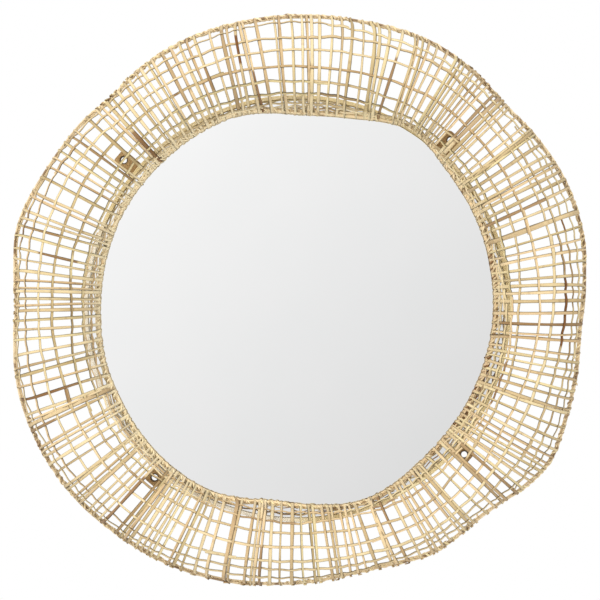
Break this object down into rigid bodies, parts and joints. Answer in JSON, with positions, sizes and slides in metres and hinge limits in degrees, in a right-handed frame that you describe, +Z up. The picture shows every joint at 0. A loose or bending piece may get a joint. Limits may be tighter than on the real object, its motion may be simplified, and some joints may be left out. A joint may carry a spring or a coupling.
{
  "type": "round wall mirror with a woven cane collar",
  "caption": "Round mirror glass on a board, inside a wide wavy openwork collar of woven split cane, made to hang flat on a wall.",
  "frame": {"origin": "centre of the board's back face, which lies on the wall", "axes": "+Z up, +X to the right as seen from the front, +Y into the wall, so the mirror looks along -Y"},
  "size_m": [0.8034, 0.0856, 0.7997],
  "materials": {
    "board": "stained fibreboard",
    "silvered_glass": "polished",
    "ear": "plain plywood",
    "cane_stake": "raw split cane",
    "cane_hoop": "raw split cane"
  },
  "bodies": {
    "root": {"backing_board": "board", "mirror_glass": "silvered_glass", "fixing_ear_1": "ear", "fixing_ear_2": "ear", "fixing_ear_3": "ear", "fixing_ear_4": "ear", "collar_stakes": "cane_stake", "woven_hoop_1": "cane_hoop", "woven_hoop_2": "cane_hoop", "woven_hoop_3": "cane_hoop", "woven_hoop_4": "cane_hoop", "woven_hoop_5": "cane_hoop", "woven_hoop_6": "cane_hoop", "woven_hoop_7": "cane_hoop"}
  },
  "joints": []
}
